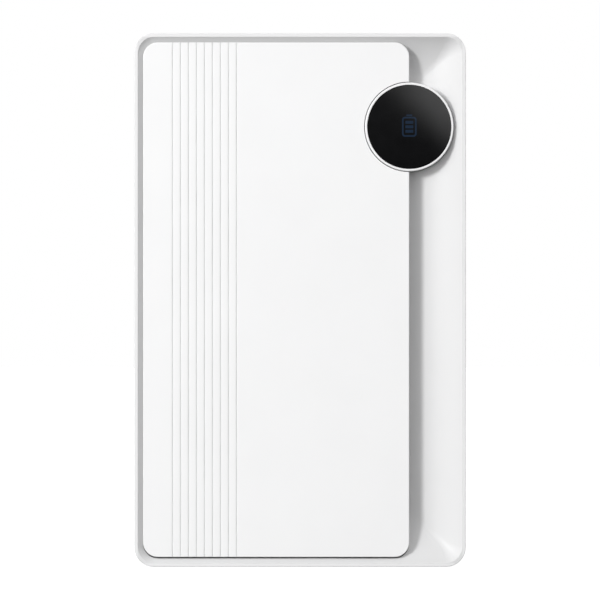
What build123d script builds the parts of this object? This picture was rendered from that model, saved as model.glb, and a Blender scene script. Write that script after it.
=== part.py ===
from build123d import *
import math
import os

# A handheld power bank, standing upright on its lower short edge.
# Millimetres. +Z is up along the long edge, +X is to the right seen from the front,
# and the front face looks toward -Y. The origin is under the middle of the body.

# ---------------------------------------------------------------- overall sizes
WIDTH = 68.0
HEIGHT = 109.4
BODY_DEPTH = 17.0        # rim of the front shell to the face of the rear pad
BUTTON_PROUD = 0.2       # how far the display button stands above the rim
BODY_CORNER = 4.0        # corner radius of the outline
SHELL_WALL = 1.5
LIP_WIDTH = 0.75         # flat lip that runs round the front dish
RIM_ROUND = 0.15         # rounding along the outside of the lip
BACK_ROUND = 2.0         # rounding along the outside of the back
SEAM_CHAMFER = 0.15      # each shell's edge at the seam between them

# Shapes that are joined overlap by JOINED, and holes run PAST the faces that they open.
JOINED = 0.1
PAST = 1.0

# ---------------------------------------------------------------- planes through the depth
FRONT_Y = -(BODY_DEPTH + BUTTON_PROUD) / 2
RIM_Y = FRONT_Y + BUTTON_PROUD
BACK_Y = RIM_Y + BODY_DEPTH
DISH_DEPTH = 3.8
DISH_FLOOR_Y = RIM_Y + DISH_DEPTH
TRAY_WALL = 1.4
TRAY_INSIDE_Y = DISH_FLOOR_Y + TRAY_WALL
SPLIT_Y = 0.5            # where the two shells meet, at mid height of the sockets
PAD_PROUD = 0.4
PAD_THICK = 0.9
PAD_GLUE = 0.1
PAD_INSET = 2.7
PAD_CORNER = 3.2
PAD_ROUND = 0.3
PAD_GAP = 0.1            # round the pad, in its recess
PAD_GLUE_INSET = 0.6
REAR_FACE_Y = BACK_Y - PAD_PROUD
REAR_INSIDE_Y = REAR_FACE_Y - SHELL_WALL
BOARD_FRONT_Y = 0.0
BOARD_BACK_Y = 1.0

# ---------------------------------------------------------------- tongue between the shells
TONGUE_INSET = 0.8
TONGUE_THICK = 0.7
TONGUE_LENGTH = 1.0
TONGUE_ROOT = 0.5
TONGUE_GAP = 0.06        # between the tongue and the rear shell
TONGUE_END_GAP = 0.1

# ---------------------------------------------------------------- front dish
COVE_RUN = 10.6          # the dish curves down over this distance from its lip
COVE_STEPS = 6
COVE_ANGLE = 2 * math.atan(DISH_DEPTH / COVE_RUN)
COVE_RADIUS = COVE_RUN / math.sin(COVE_ANGLE)
CORNER_AT_LIP = 3.4
CORNER_AT_FLOOR = 0.5
CORNER_FADE = 2.6        # the corner of the dish sharpens over about this distance

# ---------------------------------------------------------------- front panel
PANEL_LEFT = -32.15
PANEL_RIGHT = 22.4
PANEL_BOTTOM = 2.0
PANEL_TOP = 107.5
PANEL_CORNER = 3.0
PANEL_GLUE = 0.2
PANEL_GAP = 0.03         # round the panel in its pocket, at the top and sides
PANEL_GAP_BELOW = 0.3
PANEL_EDGE = 0.15
GROOVE_COUNT = 9
GROOVE_FIRST_X = -26.13
GROOVE_PITCH = 1.64
GROOVE_WIDTH = 0.3        # of a shallow V
GROOVE_DEPTH = 0.2
STRIP_X = (-25.0, -6.0, 8.0)      # strips of mounting tape
STRIP_WIDTH = 10.0
STRIP_Z = (8.0, 76.0)

# ---------------------------------------------------------------- display button
BUTTON_X = PANEL_RIGHT
BUTTON_Z = 90.2
BUTTON_RADIUS = 9.1
BUTTON_TRAVEL = 0.4
BEZEL_FRONT_Y = RIM_Y - 0.05
BEZEL_ROUND = 0.2
BEZEL_END_GAP = 0.05     # between the pressed button and the floor of its well
NOTCH_RADIUS = 9.26      # rounded notch in the panel's edge
WELL_RADIUS = 9.26
WELL_SUNK = 0.4          # how far the floor of the well lies below the floor of the dish
WELL_FLOOR_Y = DISH_FLOOR_Y + WELL_SUNK
WELL_BOSS_RADIUS = 10.4
WELL_BOSS_DEPTH = 0.4
LENS_RADIUS = 8.62
LENS_GAP = 0.03          # round the lens and the plate, in the ring
LENS_DOME = 0.2          # the lens is this much thicker in the middle than at its edge
LENS_CURVE = (LENS_RADIUS**2 + LENS_DOME**2) / (2 * LENS_DOME)
LENS_EDGE = 0.04
LENS_SEAT_Y = FRONT_Y + 0.9
LENS_GLUE = 0.1
LENS_GLUE_INSET = 0.05
DISPLAY_RADIUS = 7.2
DISPLAY_GAP = 0.3
PLATE_FRONT_Y = LENS_SEAT_Y + 0.8
PLATE_BACK_Y = PLATE_FRONT_Y + 1.2
STEM_RADIUS = 3.0
STEM_CLEARANCE = 0.06
STEM_END_Y = -1.75
STEM_NOSE_RADIUS = 1.2
GUIDE_RADIUS = 4.4
GUIDE_END_Y = -2.2
CLIP_THICK = 0.3
CLIP_GAP = 0.05
CLIP_OUTER = 4.2
CLIP_GROOVE = 2.4
CLIP_MOUTH = 0.8         # the clip's opening, as a share of its groove
PLUNGER_FRONT_Y = -1.5
PLUNGER_BACK_Y = -0.6
PLUNGER_RADIUS = 0.8
PLUNGER_CLEARANCE = 0.06
SWITCH_HEIGHT = 1.1
SWITCH_SIDE = 4.0
SWITCH_CORNER = 0.5
SWITCH_FLOOR = 0.12
FLEX_X = BUTTON_X - 6.0
FLEX_WIDTH = 4.6
FLEX_THICK = 0.15
FLEX_SLOT_IN_PLATE = (0.5, 2.6)   # half width and half height
FLEX_SLOT_IN_SHELL = (0.8, 2.7)
FLEX_RUN_Y = -0.75
FLEX_BEND = 0.6
FLEX_TIP_INSET = 1.2
CONNECTOR_X = (10.6, 13.6)
CONNECTOR_HEIGHT = 1.2
CONNECTOR_HALF_LENGTH = 2.7
CONNECTOR_MOUTH_Y = (-0.98, -0.15)
CONNECTOR_BACK = 0.9     # thickness behind the mouth

# ---------------------------------------------------------------- sockets on the top edge
SOCKET_Y = SPLIT_Y
SOCKET_FRONT_Z = HEIGHT - 0.5
USB_C_X = (-17.0, 17.0)
USB_C_WIDTH = 8.94
USB_C_HEIGHT = 3.16
USB_C_DEPTH = 7.3
USB_A_X = 0.0
USB_A_WIDTH = 13.1
USB_A_HEIGHT = 5.7
USB_A_DEPTH = 14.0
METAL = 0.3              # sheet metal of the sockets
SOCKET_GAP = 0.15
MOUTH_CHAMFER = 0.25
MOUTH_CORNER = 0.6
ALMOST = 0.01            # keeps a full round just short of a half circle
BASE_CLEARANCE = 0.04    # between a socket's sleeve and the block in it
WING_THICK = 0.25        # solder wings, flat on the board
WING_ROOT = 0.2          # how far a wing starts inside the sleeve
USB_C_WING_REACH = 1.1
USB_C_WING_Z = (1.0, 2.6)
USB_C_BASE = 2.2
USB_C_TONGUE = (6.69, 0.7)
USB_C_TONGUE_CORNER = 0.2
USB_C_TONGUE_SUNK = 0.7
USB_C_PIN_COUNT = 12
USB_C_PIN_PITCH = 0.5
USB_C_PIN_WIDTH = 0.24
USB_C_PIN_THICK = 0.04
USB_C_PIN_SUNK = 1.1
USB_A_CORNER = 0.5
USB_A_INSIDE_CORNER = 0.2
USB_A_WINDOW_X = 3.2
USB_A_WINDOW_WIDTH = 2.0
USB_A_WINDOW_Z = (6.0, 10.0)
USB_A_SPRING_WIDTH = 1.5
USB_A_SPRING_Z = (5.8, 9.4)
USB_A_WING_REACH = 1.3
USB_A_WING_Z = (3.0, 5.0)
USB_A_BASE = 3.0
USB_A_BASE_CORNER = 0.25
USB_A_TONGUE_WIDTH = 11.2
USB_A_TONGUE_Y = (SOCKET_Y - 1.6, SOCKET_Y + 0.24)
USB_A_TONGUE_SUNK = 1.4
USB_A_PIN_X = (-3.5, -1.0, 1.0, 3.5)
USB_A_PIN_WIDTH = 1.0
USB_A_PIN_THICK = 0.15
USB_A_PIN_LENGTH = 7.5

# ---------------------------------------------------------------- battery and boards
CELL_WIDTH = 57.0
CELL_FRONT_Y = TRAY_INSIDE_Y + 0.5
CELL_BACK_Y = 5.9
CELL_BOTTOM = 8.0
CELL_TOP = 82.0
CELL_ROUND = 2.0
TERRACE_HALF_WIDTH = 25.0
TERRACE_TOP = CELL_TOP + 3.6
TERRACE_THICK = 0.4
GUARD_X = (-22.0, 20.0)  # protection board, on the terrace
GUARD_Z = (CELL_TOP + 0.3, CELL_TOP + 3.4)
GUARD_THICK = 0.8
GUARD_BACK_Y = BOARD_FRONT_Y + GUARD_THICK
GUARD_CHIPS = ((-7.0, 1.5), (-1.5, 1.5), (4.0, 1.0))      # middle and half width
GUARD_CHIP_Z = (CELL_TOP + 0.8, CELL_TOP + 2.8)
GUARD_CHIP_HEIGHT = 0.7
TAB_X = (-13.0, 11.0)
TAB_HALF_WIDTH = 2.0
TAB_THICK = 0.2
TAB_LENGTH = 3.0
FRONT_FOAM = (-24, 24, 12, 76)    # left, right, bottom and top
REAR_FOAM = (-25, 25, 12, 78)
FOAM_CORNER = 2.0
SPREADER = (-29, 29, 9, 100)
SPREADER_CORNER = 2.0
SPREADER_THICK = 0.3
INSULATION = (-27, 27, 86.5, 99.5)
INSULATION_CORNER = 1.0
INSULATION_THICK = 0.2
BEAD_X = -30.6           # temperature bead beside the cell
BEAD_Z = 70.0
BEAD_RADIUS = 1.1
BEAD_LEAD_RADIUS = 0.35
BOARD_BOTTOM = 87.4
BOARD_TOP = 106.7
BOARD_HALF_WIDTH = 31.0
BOARD_NECK_HALF_WIDTH = 25.6
BOARD_NECK_BOTTOM = 101.4
BOARD_GAP = 0.1          # round the sockets that are sunk into the board
RED_LEAD_X = -18.5
BLACK_LEAD_X = 16.5
WIRE_RADIUS = 0.5
WIRE_BULGE_Y = 2.9
WIRE_BEND = 1.0
WIRE_END = 1.9           # from the edge of each board to the end of the lead

# Packages on the main board: middle in X and Z, sides in X and Z, height.
CHIP_CHAMFER = 0.1
INDUCTORS = ((-22.5, 94.4), (13.0, 94.4))
INDUCTOR_SIZE = (6.6, 6.6, 3.0)
TRANSISTORS = ((-14.5, 90.4), (-10.5, 90.4), (20.0, 90.4), (24.0, 90.4))
TRANSISTOR_SIZE = (3.0, 3.0, 0.8)
CHARGER_PLACE = (-5.4, 90.6)
CHARGER_SIZE = (4.0, 4.0, 0.9)
DISPLAY_CHIP_PLACE = (-12.0, 92.5)
DISPLAY_CHIP_SIDE = 5.0
DISPLAY_CHIP_HEIGHT = 0.9
CAPACITOR_SIZE = (1.0, 2.0, 1.0)
CAPACITOR_PITCH = 1.7
LEFT_CAPACITORS = (-15.2, 94.6, 5)        # first place and how many
RIGHT_CAPACITORS = (19.6, 95.6, 4)

# ---------------------------------------------------------------- screws
CASE_SCREW_X = 28.6
CASE_SCREW_Z = (5.2, HEIGHT - 5.2)
SCREW_RADIUS = 0.8
SCREW_HEAD_RADIUS = 1.4
SCREW_HEAD = 0.9
SCREW_HEAD_ROUND = 0.35
SCREW_CROSS = (0.75, 0.17)        # half length and half width of each arm
SCREW_CROSS_DEPTH = 0.5
SCREW_GRIP = 0.02        # between a screw and the post that it is driven into
SCREW_LOOSE = 0.1        # between a screw and a hole that it passes through
SCREW_HEAD_GAP = 0.15
CASE_SCREW_TIP_Y = -0.6
CASE_HOLE_END_Y = -1.5
BOARD_SCREW_TIP_Y = -2.6
BOARD_HOLE_END_Y = -3.0
BOSS_RADIUS = 1.8
BOSS_MEET_Y = 2.0
REAR_BOSS_RADIUS = 2.2
CASE_SCREW_SEAT_Y = 5.6
BOARD_SCREWS = ((-28.6, 91.0), (28.6, 98.4), (2.0, 90.0))


# ================================================================ helpers
def slab(outline, y_front, y_back):
    """Fill an outline drawn in X and Z from y_front back to y_back."""
    return extrude(Plane.XZ.offset(-y_back) * outline, y_back - y_front)


def rounded(x_left, x_right, z_bottom, z_top, corner):
    """A rectangle in X and Z with round corners."""
    centre = Pos((x_left + x_right) / 2, (z_bottom + z_top) / 2)
    return centre * RectangleRounded(x_right - x_left, z_top - z_bottom, corner)


def body_outline(inset, corner):
    """The outline of the whole body, moved inward."""
    return rounded(-WIDTH / 2 + inset, WIDTH / 2 - inset, inset, HEIGHT - inset, corner)


def block(x_left, x_right, y_front, y_back, z_bottom, z_top):
    """A box given by its limits."""
    centre = Pos((x_left + x_right) / 2, (y_front + y_back) / 2, (z_bottom + z_top) / 2)
    return centre * Box(x_right - x_left, y_back - y_front, z_top - z_bottom)


def drum(x, z, radius, y_front, y_back):
    """A cylinder whose axis runs front to back."""
    return slab(Pos(x, z) * Circle(radius), y_front, y_back)


def edges_at_y(solid, y):
    """All edges that lie in the plane at y."""
    return solid.edges().filter_by_position(Axis.Y, y - 0.001, y + 0.001)


def socket_prism(x, width, height, corner, z_bottom, z_top):
    """A rounded bar along Z with the section of a socket."""
    section = Plane.XY.offset(z_bottom) * Pos(x, SOCKET_Y) * RectangleRounded(width, height, corner)
    return extrude(section, z_top - z_bottom)


def mirrored_x(positions_x, positions_z):
    """Every pairing of -x and +x with each z."""
    return [(sign * positions_x, z) for sign in (-1, 1) for z in positions_z]


def screw(x, z, y_seat, y_tip):
    """A small pan-head screw with a cross recess, driven from the back."""
    y_end = y_seat + SCREW_HEAD
    head = drum(x, z, SCREW_HEAD_RADIUS, y_seat, y_end)
    body = fillet(edges_at_y(head, y_end), SCREW_HEAD_ROUND)
    body += drum(x, z, SCREW_RADIUS, y_tip, y_seat + JOINED)
    long, thin = SCREW_CROSS
    for half_x, half_z in ((long, thin), (thin, long)):
        body -= block(
            x - half_x, x + half_x, y_end - SCREW_CROSS_DEPTH, y_end + PAST, z - half_z, z + half_z
        )
    return body


# ================================================================ shells
def dish_cutter():
    """The shallow dish of the front: a cove that curves in from the lip to a flat floor."""
    sections = []
    for step in range(COVE_STEPS + 1):
        angle = COVE_ANGLE * (1 - step / COVE_STEPS)
        inset = COVE_RUN - COVE_RADIUS * math.sin(angle)
        depth = DISH_DEPTH - COVE_RADIUS * (1 - math.cos(angle))
        sharpening = math.exp(-inset / CORNER_FADE)
        corner = CORNER_AT_FLOOR + (CORNER_AT_LIP - CORNER_AT_FLOOR) * sharpening
        outline = body_outline(LIP_WIDTH + inset, corner)
        sections.append(Plane.XZ.offset(-(RIM_Y + depth)) * outline)
    return loft(sections)


def socket_opening(x, width, height, corner):
    """One opening in the top wall, with a chamfered mouth."""
    hole = socket_prism(x, width, height, corner, HEIGHT - SHELL_WALL - PAST, HEIGHT + PAST)
    mouth_start = Plane.XY.offset(HEIGHT - MOUTH_CHAMFER) * Pos(x, SOCKET_Y)
    mouth = extrude(mouth_start * RectangleRounded(width, height, corner), 2 * MOUTH_CHAMFER, taper=-45)
    return hole + mouth


def socket_openings():
    """The openings in the top wall that the socket mouths sit in."""
    margin = 2 * SOCKET_GAP
    cutter = socket_opening(USB_A_X, USB_A_WIDTH + margin, USB_A_HEIGHT + margin, MOUTH_CORNER)
    for x in USB_C_X:
        height = USB_C_HEIGHT + margin
        cutter += socket_opening(x, USB_C_WIDTH + margin, height, height / 2 - ALMOST)
    return cutter


def inset_body(inset, y_front, y_back):
    """The body's outline moved inward, with corners to suit, and filled between two depths."""
    return slab(body_outline(inset, BODY_CORNER - inset), y_front, y_back)


def tongue_ring():
    """The tongue of the front shell, which the rear shell slips over."""
    y_front = SPLIT_Y - TONGUE_ROOT
    y_back = SPLIT_Y + TONGUE_LENGTH
    outer = inset_body(TONGUE_INSET, y_front, y_back)
    return outer - inset_body(TONGUE_INSET + TONGUE_THICK, y_front - PAST, y_back + PAST)


def front_shell():
    """Dished front shell with the panel's pocket, the button's well and the screw bosses."""
    shell = inset_body(0, RIM_Y, SPLIT_Y)
    shell = fillet(edges_at_y(shell, RIM_Y), RIM_ROUND)
    shell = chamfer(edges_at_y(shell, SPLIT_Y), SEAM_CHAMFER)
    shell -= inset_body(SHELL_WALL, TRAY_INSIDE_Y, SPLIT_Y + PAST)
    shell += tongue_ring()
    shell -= dish_cutter()
    pocket = rounded(
        PANEL_LEFT - PANEL_GAP,
        PANEL_RIGHT + PANEL_GAP,
        PANEL_BOTTOM - PANEL_GAP_BELOW,
        PANEL_TOP + PANEL_GAP,
        PANEL_CORNER + PANEL_GAP,
    )
    shell -= slab(pocket, RIM_Y - PAST, DISH_FLOOR_Y)

    boss_front_y = TRAY_INSIDE_Y - JOINED
    shell += drum(BUTTON_X, BUTTON_Z, WELL_BOSS_RADIUS, boss_front_y, TRAY_INSIDE_Y + WELL_BOSS_DEPTH)
    shell += drum(BUTTON_X, BUTTON_Z, GUIDE_RADIUS, boss_front_y, GUIDE_END_Y)
    shell -= drum(BUTTON_X, BUTTON_Z, WELL_RADIUS, RIM_Y - PAST, WELL_FLOOR_Y)
    shell -= drum(BUTTON_X, BUTTON_Z, STEM_RADIUS + STEM_CLEARANCE, RIM_Y, GUIDE_END_Y + PAST)
    shell -= flex_slot(FLEX_SLOT_IN_SHELL)

    for x, z in mirrored_x(CASE_SCREW_X, CASE_SCREW_Z):
        shell += drum(x, z, BOSS_RADIUS, boss_front_y, BOSS_MEET_Y)
        shell -= drum(x, z, SCREW_RADIUS + SCREW_GRIP, CASE_HOLE_END_Y, BOSS_MEET_Y + PAST)
    for x, z in BOARD_SCREWS:
        shell += drum(x, z, BOSS_RADIUS, boss_front_y, BOARD_FRONT_Y)
        shell -= drum(x, z, SCREW_RADIUS + SCREW_GRIP, BOARD_HOLE_END_Y, BOARD_FRONT_Y + PAST)
    shell -= socket_openings()
    return shell


def flex_slot(half_sizes):
    """The slot that the flat cable passes through behind the display."""
    half_x, half_z = half_sizes
    return block(FLEX_X - half_x, FLEX_X + half_x, FRONT_Y, 0, BUTTON_Z - half_z, BUTTON_Z + half_z)


def rear_shell():
    """Rear shell with a shallow recess for the pad and counterbored screw posts."""
    shell = inset_body(0, SPLIT_Y, REAR_FACE_Y)
    shell = fillet(edges_at_y(shell, REAR_FACE_Y), BACK_ROUND)
    shell = chamfer(edges_at_y(shell, SPLIT_Y), SEAM_CHAMFER)
    shell -= inset_body(SHELL_WALL, SPLIT_Y - PAST, REAR_INSIDE_Y)
    tongue_room_end = SPLIT_Y + TONGUE_LENGTH + TONGUE_END_GAP
    shell -= inset_body(TONGUE_INSET - TONGUE_GAP, SPLIT_Y - PAST, tongue_room_end)
    shell -= slab(pad_outline(PAD_GAP), BACK_Y - PAD_THICK - PAD_GLUE, REAR_FACE_Y + PAST)
    for x, z in mirrored_x(CASE_SCREW_X, CASE_SCREW_Z):
        shell += drum(x, z, REAR_BOSS_RADIUS, BOSS_MEET_Y, REAR_INSIDE_Y + JOINED)
        shell -= drum(x, z, SCREW_HEAD_RADIUS + SCREW_HEAD_GAP, CASE_SCREW_SEAT_Y, REAR_FACE_Y + PAST)
        shell -= drum(x, z, SCREW_RADIUS + SCREW_LOOSE, BOSS_MEET_Y - PAST, CASE_SCREW_SEAT_Y + PAST)
    shell -= socket_openings()
    return shell


def pad_outline(margin):
    """Outline of the soft pad on the back."""
    return body_outline(PAD_INSET - margin, PAD_CORNER + margin)


def rear_pad():
    """Soft pad, slightly proud of the back, with a rounded rim."""
    pad = slab(pad_outline(0), BACK_Y - PAD_THICK, BACK_Y)
    return fillet(edges_at_y(pad, BACK_Y), PAD_ROUND)


def rear_pad_adhesive():
    return slab(pad_outline(-PAD_GLUE_INSET), BACK_Y - PAD_THICK - PAD_GLUE, BACK_Y - PAD_THICK)


def groove_cutter(x):
    """A fine V groove over the full height of the panel, open at both ends."""
    left, right = x - GROOVE_WIDTH / 2, x + GROOVE_WIDTH / 2
    above = RIM_Y - PAST
    corners = ((left, above), (right, above), (right, RIM_Y), (x, RIM_Y + GROOVE_DEPTH), (left, RIM_Y))
    section = Plane.XY.offset(PANEL_BOTTOM - PAST) * Polygon(*corners, align=None)
    return extrude(section, PANEL_TOP - PANEL_BOTTOM + 2 * PAST)


def front_panel():
    """Raised front panel: nine fine grooves and a round notch for the button."""
    outline = rounded(PANEL_LEFT, PANEL_RIGHT, PANEL_BOTTOM, PANEL_TOP, PANEL_CORNER)
    panel = slab(outline, RIM_Y, DISH_FLOOR_Y - PANEL_GLUE)
    panel = fillet(edges_at_y(panel, RIM_Y), PANEL_EDGE)
    panel -= drum(BUTTON_X, BUTTON_Z, NOTCH_RADIUS, RIM_Y - PAST, DISH_FLOOR_Y)
    for number in range(GROOVE_COUNT):
        panel -= groove_cutter(GROOVE_FIRST_X + number * GROOVE_PITCH)
    return panel


def panel_adhesive():
    """Three strips of mounting tape under the panel."""
    strips = []
    for x in STRIP_X:
        outline = rounded(x - STRIP_WIDTH / 2, x + STRIP_WIDTH / 2, *STRIP_Z, 1.0)
        strips.append(slab(outline, DISH_FLOOR_Y - PANEL_GLUE, DISH_FLOOR_Y))
    return Compound(children=strips)


# ================================================================ display button
def button_bezel():
    """White ring cup that carries the lens in front and the stem plate behind."""
    back_y = WELL_FLOOR_Y - BUTTON_TRAVEL - BEZEL_END_GAP
    bore = LENS_RADIUS + LENS_GAP
    ring = drum(BUTTON_X, BUTTON_Z, BUTTON_RADIUS, BEZEL_FRONT_Y, back_y)
    ring = fillet(edges_at_y(ring, BEZEL_FRONT_Y), BEZEL_ROUND)
    ring -= drum(BUTTON_X, BUTTON_Z, bore, BEZEL_FRONT_Y - PAST, LENS_SEAT_Y)
    ring -= drum(BUTTON_X, BUTTON_Z, DISPLAY_RADIUS + DISPLAY_GAP, FRONT_Y, back_y + PAST)
    ring -= drum(BUTTON_X, BUTTON_Z, bore, PLATE_FRONT_Y, back_y + PAST)
    return ring


def display_lens():
    """Black glass disc with a slightly domed front and a softened edge."""
    back_y = LENS_SEAT_Y - LENS_GLUE
    lens = drum(BUTTON_X, BUTTON_Z, LENS_RADIUS, FRONT_Y, back_y)
    lens &= Pos(BUTTON_X, FRONT_Y + LENS_CURVE, BUTTON_Z) * Sphere(LENS_CURVE)
    return fillet(edges_at_y(lens, FRONT_Y + LENS_DOME), LENS_EDGE)


def lens_adhesive():
    outer = LENS_RADIUS - LENS_GLUE_INSET
    ring = drum(BUTTON_X, BUTTON_Z, outer, LENS_SEAT_Y - LENS_GLUE, LENS_SEAT_Y)
    return ring - drum(BUTTON_X, BUTTON_Z, DISPLAY_RADIUS + DISPLAY_GAP, FRONT_Y, LENS_SEAT_Y + PAST)


def display_module():
    """Round display, glued to the back of the lens."""
    return drum(BUTTON_X, BUTTON_Z, DISPLAY_RADIUS, LENS_SEAT_Y - LENS_GLUE, PLATE_FRONT_Y)


def button_stem():
    """Carrier plate with the stem that slides in the guide and presses the switch."""
    plate = drum(BUTTON_X, BUTTON_Z, LENS_RADIUS, PLATE_FRONT_Y, PLATE_BACK_Y)
    plate -= flex_slot(FLEX_SLOT_IN_PLATE)
    stem = drum(BUTTON_X, BUTTON_Z, STEM_RADIUS, PLATE_BACK_Y - JOINED, STEM_END_Y)
    clip_y = GUIDE_END_Y + CLIP_GAP
    groove = drum(BUTTON_X, BUTTON_Z, STEM_RADIUS + PAST, clip_y, clip_y + CLIP_THICK)
    groove -= drum(BUTTON_X, BUTTON_Z, CLIP_GROOVE, clip_y - PAST, clip_y + PAST)
    nose = drum(BUTTON_X, BUTTON_Z, STEM_NOSE_RADIUS, STEM_END_Y - JOINED, PLUNGER_FRONT_Y)
    return plate + stem - groove + nose


def stem_clip():
    """Open retaining clip that stops the button from coming out of its guide."""
    clip_y = GUIDE_END_Y + CLIP_GAP
    clip = drum(BUTTON_X, BUTTON_Z, CLIP_OUTER, clip_y, clip_y + CLIP_THICK)
    clip -= drum(BUTTON_X, BUTTON_Z, CLIP_GROOVE, clip_y - PAST, clip_y + PAST)
    half_mouth = CLIP_GROOVE * CLIP_MOUTH
    mouth = block(
        BUTTON_X - half_mouth,
        BUTTON_X + half_mouth,
        clip_y - PAST,
        clip_y + PAST,
        BUTTON_Z,
        BUTTON_Z + CLIP_OUTER + PAST,
    )
    return clip - mouth


def display_flex():
    """Flat cable: straight back from the display, then along the board to its connector."""
    start_point = (FLEX_X, PLATE_FRONT_Y, BUTTON_Z)
    route = FilletPolyline(
        start_point,
        (FLEX_X, FLEX_RUN_Y, BUTTON_Z),
        (CONNECTOR_X[0] + FLEX_TIP_INSET, FLEX_RUN_Y, BUTTON_Z),
        radius=FLEX_BEND,
    )
    start = Plane(origin=start_point, x_dir=(1, 0, 0), z_dir=(0, 1, 0))
    return sweep(start * Rectangle(FLEX_THICK, FLEX_WIDTH), path=route)


def flex_connector():
    """Board connector with an open mouth for the flat cable."""
    z_low = BUTTON_Z - CONNECTOR_HALF_LENGTH
    z_high = BUTTON_Z + CONNECTOR_HALF_LENGTH
    body = block(*CONNECTOR_X, -CONNECTOR_HEIGHT, BOARD_FRONT_Y, z_low, z_high)
    half_mouth = FLEX_WIDTH / 2 + 0.1
    mouth_x = CONNECTOR_X[0] + CONNECTOR_BACK
    mouth_end_x = CONNECTOR_X[1] + PAST
    body -= block(mouth_x, mouth_end_x, *CONNECTOR_MOUTH_Y, BUTTON_Z - half_mouth, BUTTON_Z + half_mouth)
    return body


def tact_switch():
    """Square push switch with a round well for its plunger."""
    half = SWITCH_SIDE / 2
    body = block(
        BUTTON_X - half,
        BUTTON_X + half,
        -SWITCH_HEIGHT,
        BOARD_FRONT_Y,
        BUTTON_Z - half,
        BUTTON_Z + half,
    )
    body = chamfer(body.edges().filter_by(Axis.Y), SWITCH_CORNER)
    well_radius = PLUNGER_RADIUS + PLUNGER_CLEARANCE
    return body - drum(BUTTON_X, BUTTON_Z, well_radius, -SWITCH_HEIGHT - PAST, -SWITCH_FLOOR)


def switch_plunger():
    return drum(BUTTON_X, BUTTON_Z, PLUNGER_RADIUS, PLUNGER_FRONT_Y, PLUNGER_BACK_Y)


# ================================================================ sockets
def solder_wings(x, half_width, reach, z_low, z_high):
    """A flat wing on each side of a socket, which sits on the board."""
    wings = []
    for side in (-1, 1):
        root_x = x + side * (half_width - WING_ROOT)
        tip_x = x + side * (half_width + reach)
        left, right = min(root_x, tip_x), max(root_x, tip_x)
        wings.append(block(left, right, BOARD_FRONT_Y - WING_THICK, BOARD_FRONT_Y, z_low, z_high))
    return wings


def usb_c_shell(x):
    """Stadium-shaped metal sleeve with two solder wings on the board."""
    bottom = SOCKET_FRONT_Z - USB_C_DEPTH
    corner = USB_C_HEIGHT / 2 - ALMOST
    sleeve = socket_prism(x, USB_C_WIDTH, USB_C_HEIGHT, corner, bottom, SOCKET_FRONT_Z)
    width = USB_C_WIDTH - 2 * METAL
    height = USB_C_HEIGHT - 2 * METAL
    sleeve -= socket_prism(x, width, height, height / 2 - ALMOST, bottom + METAL, SOCKET_FRONT_Z + PAST)
    wing_low, wing_high = USB_C_WING_Z
    for wing in solder_wings(x, USB_C_WIDTH / 2, USB_C_WING_REACH, bottom + wing_low, bottom + wing_high):
        sleeve += wing
    return sleeve


def usb_c_tongue(x):
    """Plastic centre tongue on its base block."""
    bottom = SOCKET_FRONT_Z - USB_C_DEPTH + METAL
    width = USB_C_WIDTH - 2 * METAL - BASE_CLEARANCE
    height = USB_C_HEIGHT - 2 * METAL - BASE_CLEARANCE
    base = socket_prism(x, width, height, height / 2 - ALMOST, bottom, bottom + USB_C_BASE)
    tongue_bottom = bottom + USB_C_BASE - JOINED
    tongue_top = SOCKET_FRONT_Z - USB_C_TONGUE_SUNK
    return base + socket_prism(x, *USB_C_TONGUE, USB_C_TONGUE_CORNER, tongue_bottom, tongue_top)


def usb_c_contacts(x):
    """Twelve flat contacts on each face of the tongue."""
    bottom = SOCKET_FRONT_Z - USB_C_DEPTH + METAL + USB_C_BASE
    top = SOCKET_FRONT_Z - USB_C_PIN_SUNK
    half_width = USB_C_PIN_WIDTH / 2
    contacts = []
    for face in (-1, 1):
        face_y = SOCKET_Y + face * USB_C_TONGUE[1] / 2
        outer_y = face_y + face * USB_C_PIN_THICK
        y_front, y_back = min(face_y, outer_y), max(face_y, outer_y)
        for number in range(USB_C_PIN_COUNT):
            centre = x + (number - (USB_C_PIN_COUNT - 1) / 2) * USB_C_PIN_PITCH
            contacts.append(block(centre - half_width, centre + half_width, y_front, y_back, bottom, top))
    return Compound(children=contacts)


def usb_a_shell():
    """Rectangular metal sleeve with spring windows and solder wings."""
    bottom = SOCKET_FRONT_Z - USB_A_DEPTH
    sleeve = socket_prism(USB_A_X, USB_A_WIDTH, USB_A_HEIGHT, USB_A_CORNER, bottom, SOCKET_FRONT_Z)
    width = USB_A_WIDTH - 2 * METAL
    height = USB_A_HEIGHT - 2 * METAL
    sleeve -= socket_prism(
        USB_A_X, width, height, USB_A_INSIDE_CORNER, bottom + METAL, SOCKET_FRONT_Z + PAST
    )
    for x in (USB_A_X - USB_A_WINDOW_X, USB_A_X + USB_A_WINDOW_X):
        window_low, window_high = USB_A_WINDOW_Z
        half = USB_A_WINDOW_WIDTH / 2
        front = SOCKET_Y - USB_A_HEIGHT
        back = SOCKET_Y + USB_A_HEIGHT
        sleeve -= block(x - half, x + half, front, back, bottom + window_low, bottom + window_high)
        spring_low, spring_high = USB_A_SPRING_Z
        half = USB_A_SPRING_WIDTH / 2
        for face in (-1, 1):
            spring_y = SOCKET_Y + face * (USB_A_HEIGHT - METAL) / 2
            front = spring_y - METAL / 2
            back = spring_y + METAL / 2
            sleeve += block(x - half, x + half, front, back, bottom + spring_low, bottom + spring_high)
    wing_low, wing_high = USB_A_WING_Z
    half_width = USB_A_WIDTH / 2
    for wing in solder_wings(USB_A_X, half_width, USB_A_WING_REACH, bottom + wing_low, bottom + wing_high):
        sleeve += wing
    return sleeve


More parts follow.
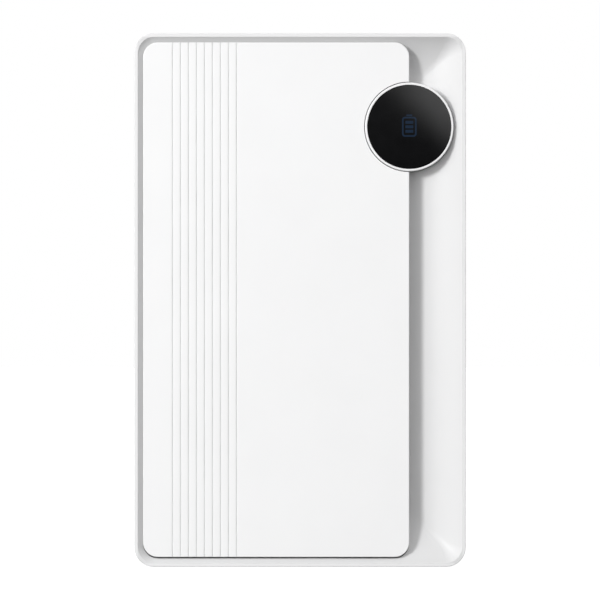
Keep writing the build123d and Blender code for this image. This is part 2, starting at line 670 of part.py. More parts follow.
def usb_a_tongue():
    """Plastic tongue that fills the front half of the socket's height, on a base block."""
    bottom = SOCKET_FRONT_Z - USB_A_DEPTH + METAL
    width = USB_A_WIDTH - 2 * METAL - BASE_CLEARANCE
    height = USB_A_HEIGHT - 2 * METAL - BASE_CLEARANCE
    base = socket_prism(USB_A_X, width, height, USB_A_BASE_CORNER, bottom, bottom + USB_A_BASE)
    half = USB_A_TONGUE_WIDTH / 2
    tongue_bottom = bottom + USB_A_BASE - JOINED
    tongue_top = SOCKET_FRONT_Z - USB_A_TONGUE_SUNK
    return base + block(USB_A_X - half, USB_A_X + half, *USB_A_TONGUE_Y, tongue_bottom, tongue_top)


def usb_a_contacts():
    """Four long contacts on the tongue's open face."""
    bottom = SOCKET_FRONT_Z - USB_A_DEPTH + METAL + USB_A_BASE
    face_y = USB_A_TONGUE_Y[1]
    half = USB_A_PIN_WIDTH / 2
    contacts = []
    for centre in USB_A_PIN_X:
        contacts.append(
            block(
                centre - half,
                centre + half,
                face_y,
                face_y + USB_A_PIN_THICK,
                bottom,
                bottom + USB_A_PIN_LENGTH,
            )
        )
    return Compound(children=contacts)


# ================================================================ boards and what is on them
def main_board():
    """Printed circuit board with cut-outs for the sunk sockets and holes for its screws."""
    depths = (BOARD_FRONT_Y, BOARD_BACK_Y)
    cut_depths = (BOARD_FRONT_Y - PAST, BOARD_BACK_Y + PAST)
    board = block(-BOARD_HALF_WIDTH, BOARD_HALF_WIDTH, *depths, BOARD_BOTTOM, BOARD_NECK_BOTTOM)
    neck_bottom = BOARD_NECK_BOTTOM - JOINED
    board += block(-BOARD_NECK_HALF_WIDTH, BOARD_NECK_HALF_WIDTH, *depths, neck_bottom, BOARD_TOP)
    sockets = [(x, USB_C_WIDTH, USB_C_DEPTH) for x in USB_C_X]
    sockets.append((USB_A_X, USB_A_WIDTH, USB_A_DEPTH))
    for x, width, depth in sockets:
        half = width / 2 + BOARD_GAP
        board -= block(x - half, x + half, *cut_depths, SOCKET_FRONT_Z - depth - BOARD_GAP, HEIGHT)
    for x, z in BOARD_SCREWS:
        board -= drum(x, z, SCREW_RADIUS + SCREW_LOOSE, *cut_depths)
    return board


def chip(place, size):
    """A flat package on the back of the main board, with a chamfered top."""
    x, z = place
    side_x, side_z, height = size
    top_y = BOARD_BACK_Y + height
    package = block(x - side_x / 2, x + side_x / 2, BOARD_BACK_Y, top_y, z - side_z / 2, z + side_z / 2)
    return chamfer(edges_at_y(package, top_y), CHIP_CHAMFER)


def power_inductors():
    """Two moulded power inductors."""
    return Compound(children=[chip(place, INDUCTOR_SIZE) for place in INDUCTORS])


def switching_transistors():
    """Four power transistors beside the inductors."""
    return Compound(children=[chip(place, TRANSISTOR_SIZE) for place in TRANSISTORS])


def charge_controller():
    return chip(CHARGER_PLACE, CHARGER_SIZE)


def display_controller():
    """Square package on the front of the board that drives the display."""
    x, z = DISPLAY_CHIP_PLACE
    half = DISPLAY_CHIP_SIDE / 2
    top_y = BOARD_FRONT_Y - DISPLAY_CHIP_HEIGHT
    package = block(x - half, x + half, top_y, BOARD_FRONT_Y, z - half, z + half)
    return chamfer(edges_at_y(package, top_y), CHIP_CHAMFER)


def ceramic_capacitors():
    """Ceramic capacitors in two rows on the back of the board."""
    parts = []
    for first_x, z, count in (LEFT_CAPACITORS, RIGHT_CAPACITORS):
        for number in range(count):
            parts.append(chip((first_x + number * CAPACITOR_PITCH, z), CAPACITOR_SIZE))
    return Compound(children=parts)


def protection_board():
    """Narrow board on the terrace of the cell."""
    return block(*GUARD_X, BOARD_FRONT_Y, GUARD_BACK_Y, *GUARD_Z)


def protection_chips():
    """Safety controller and its two transistors."""
    top_y = GUARD_BACK_Y + GUARD_CHIP_HEIGHT
    parts = [block(x - half, x + half, GUARD_BACK_Y, top_y, *GUARD_CHIP_Z) for x, half in GUARD_CHIPS]
    return Compound(children=parts)


def cell_tabs():
    """Two nickel tabs from the cell to the protection board."""
    tabs = []
    for x in TAB_X:
        tabs.append(
            block(
                x - TAB_HALF_WIDTH,
                x + TAB_HALF_WIDTH,
                GUARD_BACK_Y,
                GUARD_BACK_Y + TAB_THICK,
                CELL_TOP,
                CELL_TOP + TAB_LENGTH,
            )
        )
    return Compound(children=tabs)


def battery_cell():
    """Pouch cell with soft long edges and a thin sealed terrace at its top."""
    half = CELL_WIDTH / 2
    pouch = block(-half, half, CELL_FRONT_Y, CELL_BACK_Y, CELL_BOTTOM, CELL_TOP)
    pouch = fillet(pouch.edges().filter_by(Axis.Z), CELL_ROUND)
    half = TERRACE_HALF_WIDTH
    terrace_y = BOARD_FRONT_Y - TERRACE_THICK
    return pouch + block(-half, half, terrace_y, BOARD_FRONT_Y, CELL_TOP - JOINED, TERRACE_TOP)


def front_foam():
    return slab(rounded(*FRONT_FOAM, FOAM_CORNER), TRAY_INSIDE_Y, CELL_FRONT_Y)


def rear_foam():
    return slab(rounded(*REAR_FOAM, FOAM_CORNER), CELL_BACK_Y, REAR_INSIDE_Y - SPREADER_THICK)


def heat_spreader():
    """Aluminium sheet inside the back, which spreads the heat of the cell and the board."""
    outline = rounded(*SPREADER, SPREADER_CORNER)
    return slab(outline, REAR_INSIDE_Y - SPREADER_THICK, REAR_INSIDE_Y)


def insulation_sheet():
    """Insulating sheet between the board's parts and the heat spreader."""
    back_y = REAR_INSIDE_Y - SPREADER_THICK
    return slab(rounded(*INSULATION, INSULATION_CORNER), back_y - INSULATION_THICK, back_y)


def lead(x):
    """Short insulated lead from the protection board up to the main board."""
    low = CELL_TOP + WIRE_END
    high = BOARD_BOTTOM + WIRE_END
    start_point = (x, GUARD_BACK_Y, low)
    route = FilletPolyline(
        start_point,
        (x, WIRE_BULGE_Y, low),
        (x, WIRE_BULGE_Y, high),
        (x, BOARD_BACK_Y, high),
        radius=WIRE_BEND,
    )
    section = Plane(origin=start_point, z_dir=(0, 1, 0)) * Circle(WIRE_RADIUS)
    return sweep(section, path=route)


def cell_thermistor():
    """Temperature bead beside the cell on a straight pair of leads, drawn as one rod."""
    length = BOARD_BOTTOM - BEAD_Z
    rod = Pos(BEAD_X, SPLIT_Y, BEAD_Z + length / 2) * Cylinder(BEAD_LEAD_RADIUS, length)
    return rod + Pos(BEAD_X, SPLIT_Y, BEAD_Z) * Sphere(BEAD_RADIUS)


def case_screws():
    places = mirrored_x(CASE_SCREW_X, CASE_SCREW_Z)
    return Compound(children=[screw(x, z, CASE_SCREW_SEAT_Y, CASE_SCREW_TIP_Y) for x, z in places])


def board_screws():
    return Compound(children=[screw(x, z, BOARD_BACK_Y, BOARD_SCREW_TIP_Y) for x, z in BOARD_SCREWS])


# ================================================================ the whole object
NODES = {
    "front_shell": front_shell(),
    "rear_shell": rear_shell(),
    "front_panel": front_panel(),
    "panel_adhesive": panel_adhesive(),
    "rear_pad": rear_pad(),
    "rear_pad_adhesive": rear_pad_adhesive(),
    "button_bezel": button_bezel(),
    "display_lens": display_lens(),
    "lens_adhesive": lens_adhesive(),
    "display_module": display_module(),
    "button_stem": button_stem(),
    "stem_clip": stem_clip(),
    "display_flex": display_flex(),
    "flex_connector": flex_connector(),
    "tact_switch": tact_switch(),
    "switch_plunger": switch_plunger(),
    "left_usb_c_shell": usb_c_shell(USB_C_X[0]),
    "left_usb_c_tongue": usb_c_tongue(USB_C_X[0]),
    "left_usb_c_contacts": usb_c_contacts(USB_C_X[0]),
    "right_usb_c_shell": usb_c_shell(USB_C_X[1]),
    "right_usb_c_tongue": usb_c_tongue(USB_C_X[1]),
    "right_usb_c_contacts": usb_c_contacts(USB_C_X[1]),
    "usb_a_shell": usb_a_shell(),
    "usb_a_tongue": usb_a_tongue(),
    "usb_a_contacts": usb_a_contacts(),
    "main_board": main_board(),
    "power_inductors": power_inductors(),
    "switching_transistors": switching_transistors(),
    "charge_controller": charge_controller(),
    "display_controller": display_controller(),
    "ceramic_capacitors": ceramic_capacitors(),
    "protection_board": protection_board(),
    "protection_chips": protection_chips(),
    "battery_cell": battery_cell(),
    "cell_tabs": cell_tabs(),
    "cell_thermistor": cell_thermistor(),
    "red_lead": lead(RED_LEAD_X),
    "black_lead": lead(BLACK_LEAD_X),
    "front_foam": front_foam(),
    "rear_foam": rear_foam(),
    "heat_spreader": heat_spreader(),
    "insulation_sheet": insulation_sheet(),
    "case_screws": case_screws(),
    "board_screws": board_screws(),
}

os.makedirs("parts", exist_ok=True)
for name, shape in NODES.items():
    export_step(shape, f"parts/{name}.step")
    print(f"{name}: {shape.volume:.2f} mm3")
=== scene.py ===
import math

import bmesh
import bpy
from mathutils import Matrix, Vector

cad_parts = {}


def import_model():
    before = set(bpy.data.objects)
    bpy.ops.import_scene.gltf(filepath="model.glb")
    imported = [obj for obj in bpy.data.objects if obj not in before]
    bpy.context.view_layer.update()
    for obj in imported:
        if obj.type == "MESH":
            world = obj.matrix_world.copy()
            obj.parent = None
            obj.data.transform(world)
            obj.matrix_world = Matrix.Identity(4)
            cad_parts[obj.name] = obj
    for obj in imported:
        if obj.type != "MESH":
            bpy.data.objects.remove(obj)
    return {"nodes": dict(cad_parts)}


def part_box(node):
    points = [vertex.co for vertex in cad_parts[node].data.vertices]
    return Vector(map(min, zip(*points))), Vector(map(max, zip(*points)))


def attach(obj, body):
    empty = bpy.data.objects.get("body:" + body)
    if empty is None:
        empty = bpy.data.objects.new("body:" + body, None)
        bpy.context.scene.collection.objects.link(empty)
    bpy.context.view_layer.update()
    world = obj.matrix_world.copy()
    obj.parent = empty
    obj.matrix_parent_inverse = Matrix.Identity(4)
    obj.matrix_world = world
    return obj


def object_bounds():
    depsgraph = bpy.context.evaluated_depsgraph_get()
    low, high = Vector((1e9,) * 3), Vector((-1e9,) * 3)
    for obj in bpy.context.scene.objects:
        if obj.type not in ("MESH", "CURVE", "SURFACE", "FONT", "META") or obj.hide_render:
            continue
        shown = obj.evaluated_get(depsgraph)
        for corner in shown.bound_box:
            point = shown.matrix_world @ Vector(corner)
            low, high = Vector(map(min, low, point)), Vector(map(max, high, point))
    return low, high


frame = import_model()
CAD_LOW, CAD_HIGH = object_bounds()

# ---------------------------------------------------------------- sizes, in metres
MM = 0.001
BODY_LOW, BODY_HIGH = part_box("front_shell")
PANEL_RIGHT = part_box("front_panel")[1].x
LENS_LOW, LENS_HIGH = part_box("display_lens")
CENTRE_X = (BODY_LOW.x + BODY_HIGH.x) / 2
CENTRE_Z = (BODY_LOW.z + BODY_HIGH.z) / 2
RIM_Y = BODY_LOW.y
LENS_CENTRE_X = (LENS_LOW.x + LENS_HIGH.x) / 2
LENS_CENTRE_Z = (LENS_LOW.z + LENS_HIGH.z) / 2
LENS_CURVE = 185.9 * MM             # radius of the lens's dome

# ---------------------------------------------------------------- display icon
ICON_WIDTH = 3.0 * MM
ICON_HEIGHT = 4.1 * MM
ICON_LINE = 0.34 * MM
ICON_THICKNESS = 0.03 * MM
ICON_PROUD = 0.012 * MM             # how far its face stands in front of the glass
ICON_OUTER_CORNER = 0.6 * MM
ICON_INNER_CORNER = 0.3 * MM
CAP_WIDTH = 1.2 * MM
CAP_HEIGHT = 0.34 * MM
CAP_CORNER = 0.1 * MM
CAP_RISE = 0.3 * MM                 # from the top of the battery to the middle of its cap
BAR_COUNT = 3
BAR_HEIGHT = 0.62 * MM
BAR_CORNER = 0.12 * MM
BAR_PITCH = 0.92 * MM
STEPS_IN_CORNER = 6

# ---------------------------------------------------------------- white plastics
SHELL_WHITE = (0.80, 0.80, 0.803)
PANEL_WHITE = (0.88, 0.88, 0.883)
RING_WHITE = (0.88, 0.88, 0.885)
# Painted shade: the dish is darkened from where it leaves the lip inward.
DISH_SHADE_FADE = (0.55 * MM, 0.9 * MM)    # in from the outline, where the lip gives way to the dish
DISH_PAINTED_SHADE = 0.876
# Painted shade in the panel's grooves, just below its face; it also greys the rounding of the face's
# edges.
GROOVE_PAINTED_SHADE = 0.87
GROOVE_SHADE_FADE = (0.02 * MM, 0.14 * MM)            # below the panel's face
# Painted shade on the panel's deeper edges, darkening its side walls and the light they throw onto the
# dish beside them.
PANEL_EDGE_PAINTED_SHADE = 0.55
PANEL_EDGE_SHADE_FADE = (0.25 * MM, 0.35 * MM)        # below the panel's face
CHANNEL_EDGE_FADE = (1.0 * MM, 0.6 * MM)        # in from the panel's right edge, which stays white

# ---------------------------------------------------------------- textures
NOISE_SPAN = (0.3, 0.7)             # where nearly all of the noise's values lie
TONE_PATCHES = 90.0                 # patches of slightly different tone in plastic, per metre
PLASTIC_BUMP = 0.35
METAL_LINES = 3000.0                # drawn lines per metre
METAL_LINE_TONE = 0.82
METAL_BUMP = 0.2
MOULDING_ROUGHNESS = 0.46
MOULDING_GRAIN = 3200.0
PANEL_ROUGHNESS = 0.44
PANEL_GRAIN = 3600.0

# ---------------------------------------------------------------- floor
FLOOR_HALF = 3.0
FLOOR_DROP = 0.02 * MM              # under the object's foot
FLOOR_GLOW = 0.92

# ---------------------------------------------------------------- view and light
LENS_MM = 300.0
SENSOR_MM = 36.0
FRAME_OVER_BODY = 1.12423           # the frame's height over the body's height
CLIP_START = 0.01
CLIP_END = 20.0
KEY_DIRECTION = Vector((-0.583, -0.756, 0.298))
KEY_DISTANCE = 0.75
KEY_SIZE = 0.16
KEY_WATTS = 3.1

# The sky lights the object only: the camera sees plain white behind it.
SKY_BEHIND_CAMERA = 0.12            # share of it that is left in a dark patch behind the camera
DARK_PATCH = (math.cos(math.radians(20)), math.cos(math.radians(8.5)))
SKY_GLOWS = (                       # direction, sharpness and strength of each glow
    ((-0.848, -0.53, 0.0), 6.0, 1.79),
    ((0.6, -0.53, 0.6), 6.0, 1.4),
    ((-0.354, -0.866, 0.354), 12.0, 1.49),
    ((0.0, -0.53, -0.848), 6.0, 0.1),
    ((0.75, 0.6, 0.28), 8.0, 2.6),
    ((0.0, 0.98, 0.2), 3.0, 0.9),
)
CARD_STRENGTH = 1.8
CARD_ASIDE = Vector((1, 0, 1)).normalized()        # the card hangs up and to the right of the camera
CARD_ALONG = Vector((1, 0, -1)).normalized()
CARD_NEAR = (0.045, 0.15)           # its brightness rises over this distance from the view direction
CARD_FAR = (0.18, 0.30)             # and falls again over this one
CARD_HALF_LENGTH = (0.14, 0.25)
CARD_IN_FRONT = (0.5, 0.7)          # it is only on the camera's side of the sky


# ================================================================ node helpers
class Nodes:
    """A node tree with a few shorthands for adding to it."""

    def __init__(self, tree):
        self.tree = tree

    def node(self, kind, **inputs):
        made = self.tree.nodes.new(kind)
        for key, value in inputs.items():
            made.inputs[key.replace("_", " ")].default_value = value
        return made

    def link(self, output, target):
        self.tree.links.new(output, target)

    def remap(self, value, from_low, from_high, to_low, to_high, smooth=False):
        """Maps one range of a value to another, held at its ends."""
        mapped = self.node("ShaderNodeMapRange")
        if smooth:
            mapped.interpolation_type = "SMOOTHSTEP"
        mapped.inputs["From Min"].default_value = from_low
        mapped.inputs["From Max"].default_value = from_high
        mapped.inputs["To Min"].default_value = to_low
        mapped.inputs["To Max"].default_value = to_high
        self.link(value, mapped.inputs["Value"])
        return mapped.outputs["Result"]

    def calculate(self, operation, *values):
        """One arithmetic step on numbers or on the outputs of other nodes."""
        made = self.node("ShaderNodeMath")
        made.operation = operation
        for number, value in enumerate(values):
            if isinstance(value, (int, float)):
                made.inputs[number].default_value = value
            else:
                self.link(value, made.inputs[number])
        return made.outputs["Value"]

    def along(self, vector, direction):
        """How far a vector reaches along a direction."""
        made = self.node("ShaderNodeVectorMath")
        made.operation = "DOT_PRODUCT"
        made.inputs[1].default_value = direction
        self.link(vector, made.inputs[0])
        return made.outputs["Value"]


class Shader(Nodes):
    """A material, through its Principled node."""

    def __init__(self, material):
        material.use_nodes = True
        super().__init__(material.node_tree)
        self.material = material
        self.surface = self.tree.nodes["Principled BSDF"]

    def set(self, **inputs):
        for key, value in inputs.items():
            self.surface.inputs[key.replace("_", " ")].default_value = value

    def object_coordinates(self):
        return self.node("ShaderNodeTexCoord").outputs["Object"]

    def place(self):
        """The outputs X, Y and Z of the place on the object."""
        split = self.node("ShaderNodeSeparateXYZ")
        self.link(self.object_coordinates(), split.inputs["Vector"])
        return split.outputs

    def noise(self, scale, detail=3.0, roughness=0.5, stretch=(1, 1, 1)):
        """Noise in object space; scale is features per metre."""
        mapping = self.node("ShaderNodeMapping")
        mapping.inputs["Scale"].default_value = stretch
        self.link(self.object_coordinates(), mapping.inputs["Vector"])
        texture = self.node("ShaderNodeTexNoise", Scale=scale, Detail=detail, Roughness=roughness)
        self.link(mapping.outputs["Vector"], texture.inputs["Vector"])
        return texture.outputs["Fac"]

    def ramp(self, factor, low, high):
        """Spreads noise, which stays near a half, over the range low..high."""
        return self.remap(factor, *NOISE_SPAN, low, high)

    def colour_between(self, factor, first, second):
        mixed = self.node("ShaderNodeMix")
        mixed.data_type = "RGBA"
        mixed.inputs["A"].default_value = (*first, 1)
        mixed.inputs["B"].default_value = (*second, 1)
        self.link(factor, mixed.inputs["Factor"])
        return mixed.outputs["Result"]

    def uneven_colour(self, factor, colour, tone):
        """A base colour that drifts between itself and a darker tone of itself."""
        darker = tuple(part * tone for part in colour)
        self.link(self.colour_between(factor, colour, darker), self.surface.inputs["Base Color"])

    def uneven_gloss(self, factor, low, high):
        self.link(self.ramp(factor, low, high), self.surface.inputs["Roughness"])

    def paint_shade(self, where, tone):
        """Multiplies the base colour by a tone, as far as the mask says: painted shade."""
        base = self.surface.inputs["Base Color"]
        shade = self.node("ShaderNodeMix")
        shade.data_type = "RGBA"
        shade.blend_type = "MULTIPLY"
        self.link(base.links[0].from_socket, shade.inputs["A"])
        shade.inputs["B"].default_value = (tone, tone, tone, 1)
        self.link(where, shade.inputs["Factor"])
        self.link(shade.outputs["Result"], base)

    def bump(self, height, strength, distance):
        bump = self.node("ShaderNodeBump", Strength=strength, Distance=distance)
        self.link(height, bump.inputs["Height"])
        self.link(bump.outputs["Normal"], self.surface.inputs["Normal"])


def new_shader(name):
    return Shader(bpy.data.materials.new(name))


# ================================================================ materials
def moulded_plastic(name, colour, roughness, grain, grain_depth, tint=0.985):
    """Injection-moulded plastic: spark-eroded grain, faint tone and gloss variation."""
    shader = new_shader(name)
    shader.set(IOR=1.5)
    tone = shader.ramp(shader.noise(TONE_PATCHES, 2.0), 0.0, 1.0)
    shader.uneven_colour(tone, colour, tint)
    fine = shader.noise(grain, 4.0, 0.6)
    shader.uneven_gloss(fine, roughness - 0.05, roughness + 0.06)
    shader.bump(fine, PLASTIC_BUMP, grain_depth)
    return shader.material


def front_shell_plastic():
    """The front shell's plastic, with painted shade in the dish: the lip and outside keep the plain
    white, and the dish is darkened.
    """
    plain = moulded_plastic(
        "white_moulding_front_painted_dish_shade", SHELL_WHITE, MOULDING_ROUGHNESS, MOULDING_GRAIN, 0.02 * MM
    )
    shader = Shader(plain)
    place = shader.place()
    from_side = shader.calculate("SUBTRACT", BODY_HIGH.x, shader.calculate("ABSOLUTE", place["X"]))
    from_top = shader.calculate("SUBTRACT", BODY_HIGH.z, place["Z"])
    from_end = shader.calculate("MINIMUM", place["Z"], from_top)
    inward = shader.calculate("MINIMUM", from_side, from_end)
    # Painted shade on the dish, fading in from the lip.
    shader.paint_shade(shader.remap(inward, *DISH_SHADE_FADE, 0, 1), DISH_PAINTED_SHADE)
    return shader.material


def panel_plastic():
    """The panel's plastic: a white face, with painted shade in its grooves and stronger painted shade on
    its deeper edges.
    """
    shader = Shader(moulded_plastic("white_panel", PANEL_WHITE, PANEL_ROUGHNESS, PANEL_GRAIN, 0.02 * MM))
    place = shader.place()
    channel_start, channel_end = (PANEL_RIGHT - inset for inset in CHANNEL_EDGE_FADE)
    off_channel = shader.remap(place["X"], channel_start, channel_end, 1, 0)
    # Painted shade: below the face, the grooves and then the deeper edges are darkened, except near the
    # right edge over the channel.
    for (start, end), tone in ((GROOVE_SHADE_FADE, GROOVE_PAINTED_SHADE), (PANEL_EDGE_SHADE_FADE, PANEL_EDGE_PAINTED_SHADE)):
        below_face = shader.remap(place["Y"], RIM_Y + start, RIM_Y + end, 0, 1)
        shader.paint_shade(shader.calculate("MULTIPLY", below_face, off_channel), tone)
    return shader.material


def brushed_metal(name, colour, roughness, stretch):
    """Drawn or brushed metal with fine lines along one axis."""
    shader = new_shader(name)
    shader.set(Metallic=1.0)
    lines = shader.noise(METAL_LINES, 4.0, 0.6, stretch)
    shader.uneven_colour(lines, colour, METAL_LINE_TONE)
    shader.uneven_gloss(lines, roughness - 0.07, roughness + 0.1)
    shader.bump(lines, METAL_BUMP, 0.01 * MM)
    return shader.material


def black_glass():
    """Glossy glass printed black on its back, with a barely uneven polish."""
    shader = new_shader("black_glass")
    shader.set(IOR=1.5, Coat_Weight=0.0)
    print_tone = shader.ramp(shader.noise(400.0, 2.0), 0.0, 1.0)
    shader.link(
        shader.colour_between(print_tone, (0.0035, 0.0036, 0.0040), (0.0048, 0.0049, 0.0054)),
        shader.surface.inputs["Base Color"],
    )
    shader.uneven_gloss(shader.noise(60.0, 2.0), 0.07, 0.10)
    return shader.material


def silicone(name, colour):
    """Soft-touch silicone with a velvety surface."""
    shader = new_shader(name)
    shader.set(IOR=1.42, Sheen_Weight=0.25, Sheen_Roughness=0.5)
    tone = shader.ramp(shader.noise(140.0, 3.0), 0.0, 1.0)
    shader.uneven_colour(tone, colour, 0.97)
    fine = shader.noise(5000.0, 3.0, 0.6)
    shader.uneven_gloss(fine, 0.62, 0.78)
    shader.bump(fine, 0.4, 0.03 * MM)
    return shader.material


def icon_material():
    """Dim blue display segments with a slightly uneven glow."""
    shader = new_shader("display_icon_blue")
    shader.set(Roughness=0.08, IOR=1.5)
    glow = shader.ramp(shader.noise(1500.0, 2.0), 0.0, 1.0)
    colour = shader.colour_between(glow, (0.0085, 0.0180, 0.0350), (0.0105, 0.0205, 0.0390))
    shader.set(Base_Color=(0.002, 0.003, 0.006, 1), Emission_Strength=1.0)
    shader.link(colour, shader.surface.inputs["Emission Color"])
    return shader.material


def paint(node, material):
    """Gives one CAD node its material."""
    thing = frame["nodes"][node]
    thing.data.materials.clear()
    thing.data.materials.append(material)


def paint_all():
    """One material for each kind of surface, outside and inside."""
    # Moulded: name, colour, roughness, grain per metre, depth of the grain and, for some, tone variation.
    white = moulded_plastic(
        "white_moulding", SHELL_WHITE, MOULDING_ROUGHNESS, MOULDING_GRAIN, 0.02 * MM
    )
    ring_white = moulded_plastic("satin_white", RING_WHITE, 0.3, 4000.0, 0.006 * MM)
    dark = moulded_plastic("dark_plastic", (0.03, 0.03, 0.033), 0.5, 4000.0, 0.02 * MM)
    cream = moulded_plastic("cream_plastic", (0.75, 0.71, 0.6), 0.5, 4000.0, 0.01 * MM)
    tape = moulded_plastic("mounting_tape", (0.7, 0.67, 0.58), 0.6, 3000.0, 0.02 * MM)
    foam = moulded_plastic("dark_foam", (0.06, 0.06, 0.065), 0.9, 1500.0, 0.1 * MM, 0.6)
    mask = moulded_plastic("solder_mask", (0.02, 0.13, 0.055), 0.35, 1200.0, 0.01 * MM, 0.8)
    inductor = moulded_plastic("inductor_body", (0.13, 0.13, 0.14), 0.6, 2500.0, 0.03 * MM, 0.8)
    ceramic = moulded_plastic("ceramic_body", (0.5, 0.36, 0.22), 0.5, 2500.0, 0.01 * MM, 0.85)
    film = moulded_plastic("amber_film", (0.6, 0.28, 0.05), 0.25, 1500.0, 0.01 * MM, 0.85)
    red = moulded_plastic("red_insulation", (0.55, 0.02, 0.015), 0.4, 2500.0, 0.01 * MM)
    black = moulded_plastic("black_insulation", (0.02, 0.02, 0.02), 0.4, 2500.0, 0.01 * MM)
    # Metal: name, colour, roughness and how much the lines shrink along each axis.
    sleeve = brushed_metal("plated_steel", (0.62, 0.62, 0.64), 0.3, (1, 1, 0.08))
    gold = brushed_metal("gold_plate", (0.83, 0.6, 0.25), 0.25, (1, 1, 0.1))
    nickel = brushed_metal("nickel_strip", (0.65, 0.62, 0.57), 0.35, (1, 1, 0.1))
    foil = brushed_metal("foil_pouch", (0.75, 0.76, 0.78), 0.4, (1, 1, 0.3))
    screw = brushed_metal("screw_steel", (0.3, 0.3, 0.32), 0.35, (1, 0.2, 1))

    surfaces = {
        front_shell_plastic(): ("front_shell",),
        white: ("rear_shell",),
        panel_plastic(): ("front_panel",),
        ring_white: ("button_bezel",),
        black_glass(): ("display_lens",),
        silicone("grey_silicone", (0.56, 0.57, 0.58)): ("rear_pad",),
        dark: (
            "button_stem", "tact_switch", "switch_plunger", "switching_transistors", "charge_controller",
            "display_controller", "protection_chips", "cell_thermistor", "display_module",
            "left_usb_c_tongue", "right_usb_c_tongue", "usb_a_tongue",
        ),
        cream: ("flex_connector",),
        tape: ("panel_adhesive", "rear_pad_adhesive", "lens_adhesive"),
        foam: ("front_foam", "rear_foam"),
        mask: ("main_board", "protection_board"),
        inductor: ("power_inductors",),
        ceramic: ("ceramic_capacitors",),
        film: ("display_flex", "insulation_sheet"),
        red: ("red_lead",),
        black: ("black_lead",),
        sleeve: ("left_usb_c_shell", "right_usb_c_shell", "usb_a_shell"),
        gold: ("left_usb_c_contacts", "right_usb_c_contacts", "usb_a_contacts"),
        nickel: ("cell_tabs", "stem_clip"),
        foil: ("battery_cell", "heat_spreader"),
        screw: ("case_screws", "board_screws"),
    }
    for material, nodes in surfaces.items():
        for node in nodes:
            paint(node, material)


# ================================================================ display icon
def rounded_outline(width, height, corner):
    """Corner points of a rounded rectangle in X and Z, counter-clockwise."""
    points = []
    for number in range(4):
        turn = number * math.pi / 2
        sign_x = 1 if number in (0, 3) else -1
        sign_z = 1 if number in (0, 1) else -1
        centre_x = sign_x * (width / 2 - corner)
        centre_z = sign_z * (height / 2 - corner)
        for step in range(STEPS_IN_CORNER + 1):
            angle = turn + step / STEPS_IN_CORNER * math.pi / 2
            points.append((centre_x + corner * math.cos(angle), centre_z + corner * math.sin(angle)))
    return points


def outline_ring(mesh, outline, centre_z, y):
    """The corners of an outline, centred across the lens, at one depth."""
    return [mesh.verts.new((LENS_CENTRE_X + x, y, centre_z + z)) for x, z in outline]


def join_rings(mesh, first, second):
    """A band of faces between two rings of corners."""
    for index in range(len(first)):
        following = (index + 1) % len(first)
        mesh.faces.new((first[index], second[index], second[following], first[following]))


def icon_prism(mesh, outline, centre_z, front_y):
    """Adds a thin closed prism to the icon."""
    front = outline_ring(mesh, outline, centre_z, front_y)
    back = outline_ring(mesh, outline, centre_z, front_y + ICON_THICKNESS)
    mesh.faces.new(front)
    mesh.faces.new(list(reversed(back)))
    join_rings(mesh, front, back)


def icon_frame(mesh, outer, inner, centre_z, front_y):
    """Adds a thin closed rounded frame to the icon."""
    back_y = front_y + ICON_THICKNESS
    loop = ((outer, front_y), (inner, front_y), (inner, back_y), (outer, back_y))
    rings = [outline_ring(mesh, outline, centre_z, y) for outline, y in loop]
    for number in range(4):
        join_rings(mesh, rings[number], rings[(number + 1) % 4])


def battery_icon():
    """A generic upright battery with level bars, shown dimly in the middle of the glass."""
    front_y = LENS_LOW.y - ICON_PROUD
    mesh = bmesh.new()
    outer = rounded_outline(ICON_WIDTH, ICON_HEIGHT, ICON_OUTER_CORNER)
    inner = rounded_outline(ICON_WIDTH - 2 * ICON_LINE, ICON_HEIGHT - 2 * ICON_LINE, ICON_INNER_CORNER)
    icon_frame(mesh, outer, inner, LENS_CENTRE_Z, front_y)
    cap = rounded_outline(CAP_WIDTH, CAP_HEIGHT, CAP_CORNER)
    icon_prism(mesh, cap, LENS_CENTRE_Z + ICON_HEIGHT / 2 + CAP_RISE, front_y)
    bar = rounded_outline(ICON_WIDTH - 4 * ICON_LINE, BAR_HEIGHT, BAR_CORNER)
    for level in range(BAR_COUNT):
        steps_up = level - (BAR_COUNT - 1) / 2
        icon_prism(mesh, bar, LENS_CENTRE_Z + steps_up * BAR_PITCH, front_y)
    for corner in mesh.verts:
        aside = (corner.co.x - LENS_CENTRE_X) ** 2 + (corner.co.z - LENS_CENTRE_Z) ** 2
        corner.co.y += aside / (2 * LENS_CURVE)
    bmesh.ops.recalc_face_normals(mesh, faces=mesh.faces)
    data = bpy.data.meshes.new("display_icon")
    mesh.to_mesh(data)
    mesh.free()
    icon = bpy.data.objects.new("display_icon", data)
    bpy.context.scene.collection.objects.link(icon)
    data.materials.append(icon_material())
    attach(icon, "button")


# ================================================================ stage, light and camera
def floor():
    """A plain pale floor that glows slightly, and keeps no light from the object."""
    data = bpy.data.meshes.new("floor")
    corners = [
        (-FLOOR_HALF, -FLOOR_HALF, 0),
        (FLOOR_HALF, -FLOOR_HALF, 0),
        (FLOOR_HALF, FLOOR_HALF, 0),
        (-FLOOR_HALF, FLOOR_HALF, 0),
    ]
    data.from_pydata(corners, [], [(0, 1, 2, 3)])
    ground = bpy.data.objects.new("floor", data)
    bpy.context.scene.collection.objects.link(ground)
    ground.location.z = CAD_LOW.z - FLOOR_DROP
    shader = new_shader("pale_floor")
    tone = shader.ramp(shader.noise(3.0, 2.0), 0.0, 1.0)
    shader.link(
        shader.colour_between(tone, (0.36, 0.36, 0.36), (0.34, 0.34, 0.34)),
        shader.surface.inputs["Base Color"],
    )
    shader.set(Roughness=0.9, Emission_Color=(1, 1, 1, 1), Emission_Strength=FLOOR_GLOW)
    data.materials.append(shader.material)
    ground.visible_diffuse = False
    ground.visible_glossy = False
    ground.visible_shadow = False


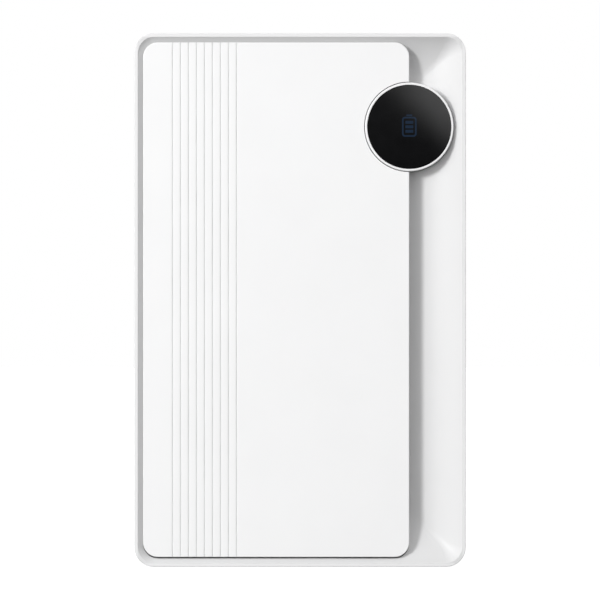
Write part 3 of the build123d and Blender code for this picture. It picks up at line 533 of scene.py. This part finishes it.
def sky_card(made, direction, toward_camera):
    """How bright the card is in a direction: a soft-edged strip beside the camera."""
    aside = made.along(direction, CARD_ASIDE)
    lengthwise = made.calculate("ABSOLUTE", made.along(direction, CARD_ALONG))
    card = made.remap(aside, *CARD_NEAR, 0, CARD_STRENGTH, smooth=True)
    card = made.calculate("MULTIPLY", card, made.remap(aside, *CARD_FAR, 1, 0, smooth=True))
    card = made.calculate("MULTIPLY", card, made.remap(lengthwise, *CARD_HALF_LENGTH, 1, 0, smooth=True))
    return made.calculate("MULTIPLY", card, made.remap(toward_camera, *CARD_IN_FRONT, 0, 1))


def sky_glows(made, direction, toward_camera):
    """How bright the glows are in a direction, with the dark patch behind the camera."""
    level = 0
    for toward, sharpness, strength in SKY_GLOWS:
        reach = made.calculate("MAXIMUM", made.along(direction, Vector(toward).normalized()), 0)
        glow = made.calculate("MULTIPLY", made.calculate("POWER", reach, sharpness), strength)
        level = made.calculate("ADD", level, glow)
    patch = made.remap(toward_camera, *DARK_PATCH, 1, SKY_BEHIND_CAMERA, smooth=True)
    return made.calculate("MULTIPLY", level, patch)


def world():
    """White to the camera; to the object, soft glows and a card beside the camera."""
    sky = bpy.data.worlds.new("studio")
    bpy.context.scene.world = sky
    sky.use_nodes = True
    sky.node_tree.nodes.clear()
    made = Nodes(sky.node_tree)
    direction = made.node("ShaderNodeTexCoord").outputs["Generated"]
    toward_camera = made.along(direction, (0, -1, 0))
    glows = sky_glows(made, direction, toward_camera)
    level = made.calculate("ADD", glows, sky_card(made, direction, toward_camera))
    lighting = made.node("ShaderNodeBackground", Color=(1, 1, 1, 1))
    made.link(level, lighting.inputs["Strength"])
    seen = made.node("ShaderNodeBackground", Color=(1, 1, 1, 1), Strength=1.0)
    mix = made.node("ShaderNodeMixShader")
    made.link(made.node("ShaderNodeLightPath").outputs["Is Camera Ray"], mix.inputs[0])
    made.link(lighting.outputs[0], mix.inputs[1])
    made.link(seen.outputs[0], mix.inputs[2])
    made.link(mix.outputs[0], made.node("ShaderNodeOutputWorld").inputs["Surface"])


def key_light():
    """A round area light aimed at the middle of the face."""
    data = bpy.data.lights.new("key", "AREA")
    data.shape = "DISK"
    data.size = KEY_SIZE
    data.energy = KEY_WATTS
    lamp = bpy.data.objects.new("key", data)
    bpy.context.scene.collection.objects.link(lamp)
    middle = Vector((CENTRE_X, RIM_Y, CENTRE_Z))
    lamp.location = middle + KEY_DIRECTION.normalized() * KEY_DISTANCE
    lamp.rotation_euler = (-KEY_DIRECTION).to_track_quat("-Z", "Y").to_euler()


def camera():
    """A long lens, square to the front, with the body filling most of the frame."""
    data = bpy.data.cameras.new("camera")
    data.lens = LENS_MM
    data.sensor_width = SENSOR_MM
    data.clip_start = CLIP_START
    data.clip_end = CLIP_END
    view_height = (BODY_HIGH.z - BODY_LOW.z) * FRAME_OVER_BODY
    distance = view_height * LENS_MM / SENSOR_MM
    eye = bpy.data.objects.new("camera", data)
    bpy.context.scene.collection.objects.link(eye)
    eye.location = (CENTRE_X, RIM_Y - distance, CENTRE_Z)
    eye.rotation_euler = (math.pi / 2, 0, 0)
    bpy.context.scene.camera = eye


# ================================================================ the scene
bpy.context.scene.view_settings.view_transform = "Standard"
paint_all()
battery_icon()
floor()
world()
key_light()
camera()
